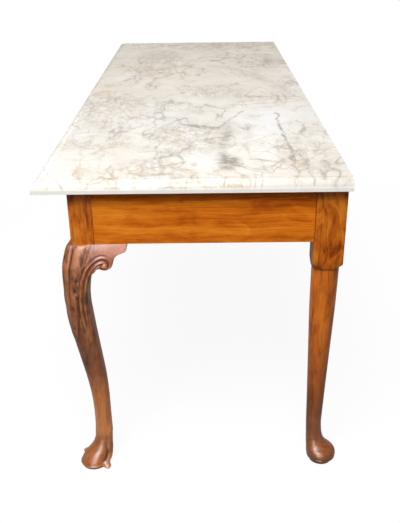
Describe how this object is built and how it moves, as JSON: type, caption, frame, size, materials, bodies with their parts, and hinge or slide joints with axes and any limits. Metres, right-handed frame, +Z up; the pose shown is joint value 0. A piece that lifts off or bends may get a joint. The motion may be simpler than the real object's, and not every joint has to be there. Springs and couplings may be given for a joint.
{
  "type": "pier table",
  "caption": "Long pier table: loose marble slab with a moulded edge on a wooden frame, carved cabriole front legs with scrolled knee brackets, turned club-foot back legs.",
  "frame": {"origin": "on the floor, midway between the ends and midway from the front of the slab to the back feet", "axes": "+X along the table, -Y towards the front with the carved legs, +Z up"},
  "size_m": [1.8992, 0.6914, 0.764],
  "materials": {
    "marble": "polished",
    "rail_wood": "polished",
    "leg_wood": "polished",
    "inner_wood": "sawn and planed",
    "peg_wood": "polished"
  },
  "bodies": {
    "frame": {"front_rail": "rail_wood", "back_rail": "rail_wood", "left_end_rail": "rail_wood", "right_end_rail": "rail_wood", "front_left_leg": "leg_wood", "front_right_leg": "leg_wood", "back_left_leg": "leg_wood", "back_right_leg": "leg_wood", "left_end_bracket": "leg_wood", "right_end_bracket": "leg_wood", "left_front_bracket": "leg_wood", "right_front_bracket": "leg_wood", "left_bearer": "inner_wood", "centre_bearer": "inner_wood", "right_bearer": "inner_wood", "front_left_glue_blocks": "inner_wood", "front_right_glue_blocks": "inner_wood", "back_left_glue_blocks": "inner_wood", "back_right_glue_blocks": "inner_wood", "front_left_pegs": "peg_wood", "front_right_pegs": "peg_wood", "back_left_pegs": "peg_wood", "back_right_pegs": "peg_wood"},
    "top": {"marble_top": "marble"}
  },
  "joints": [
    {"name": "marble_top_lift", "type": "slide", "parent": "frame", "child": "top", "axis": [0, 0, 1], "range_m": [0, 0.12]}
  ]
}
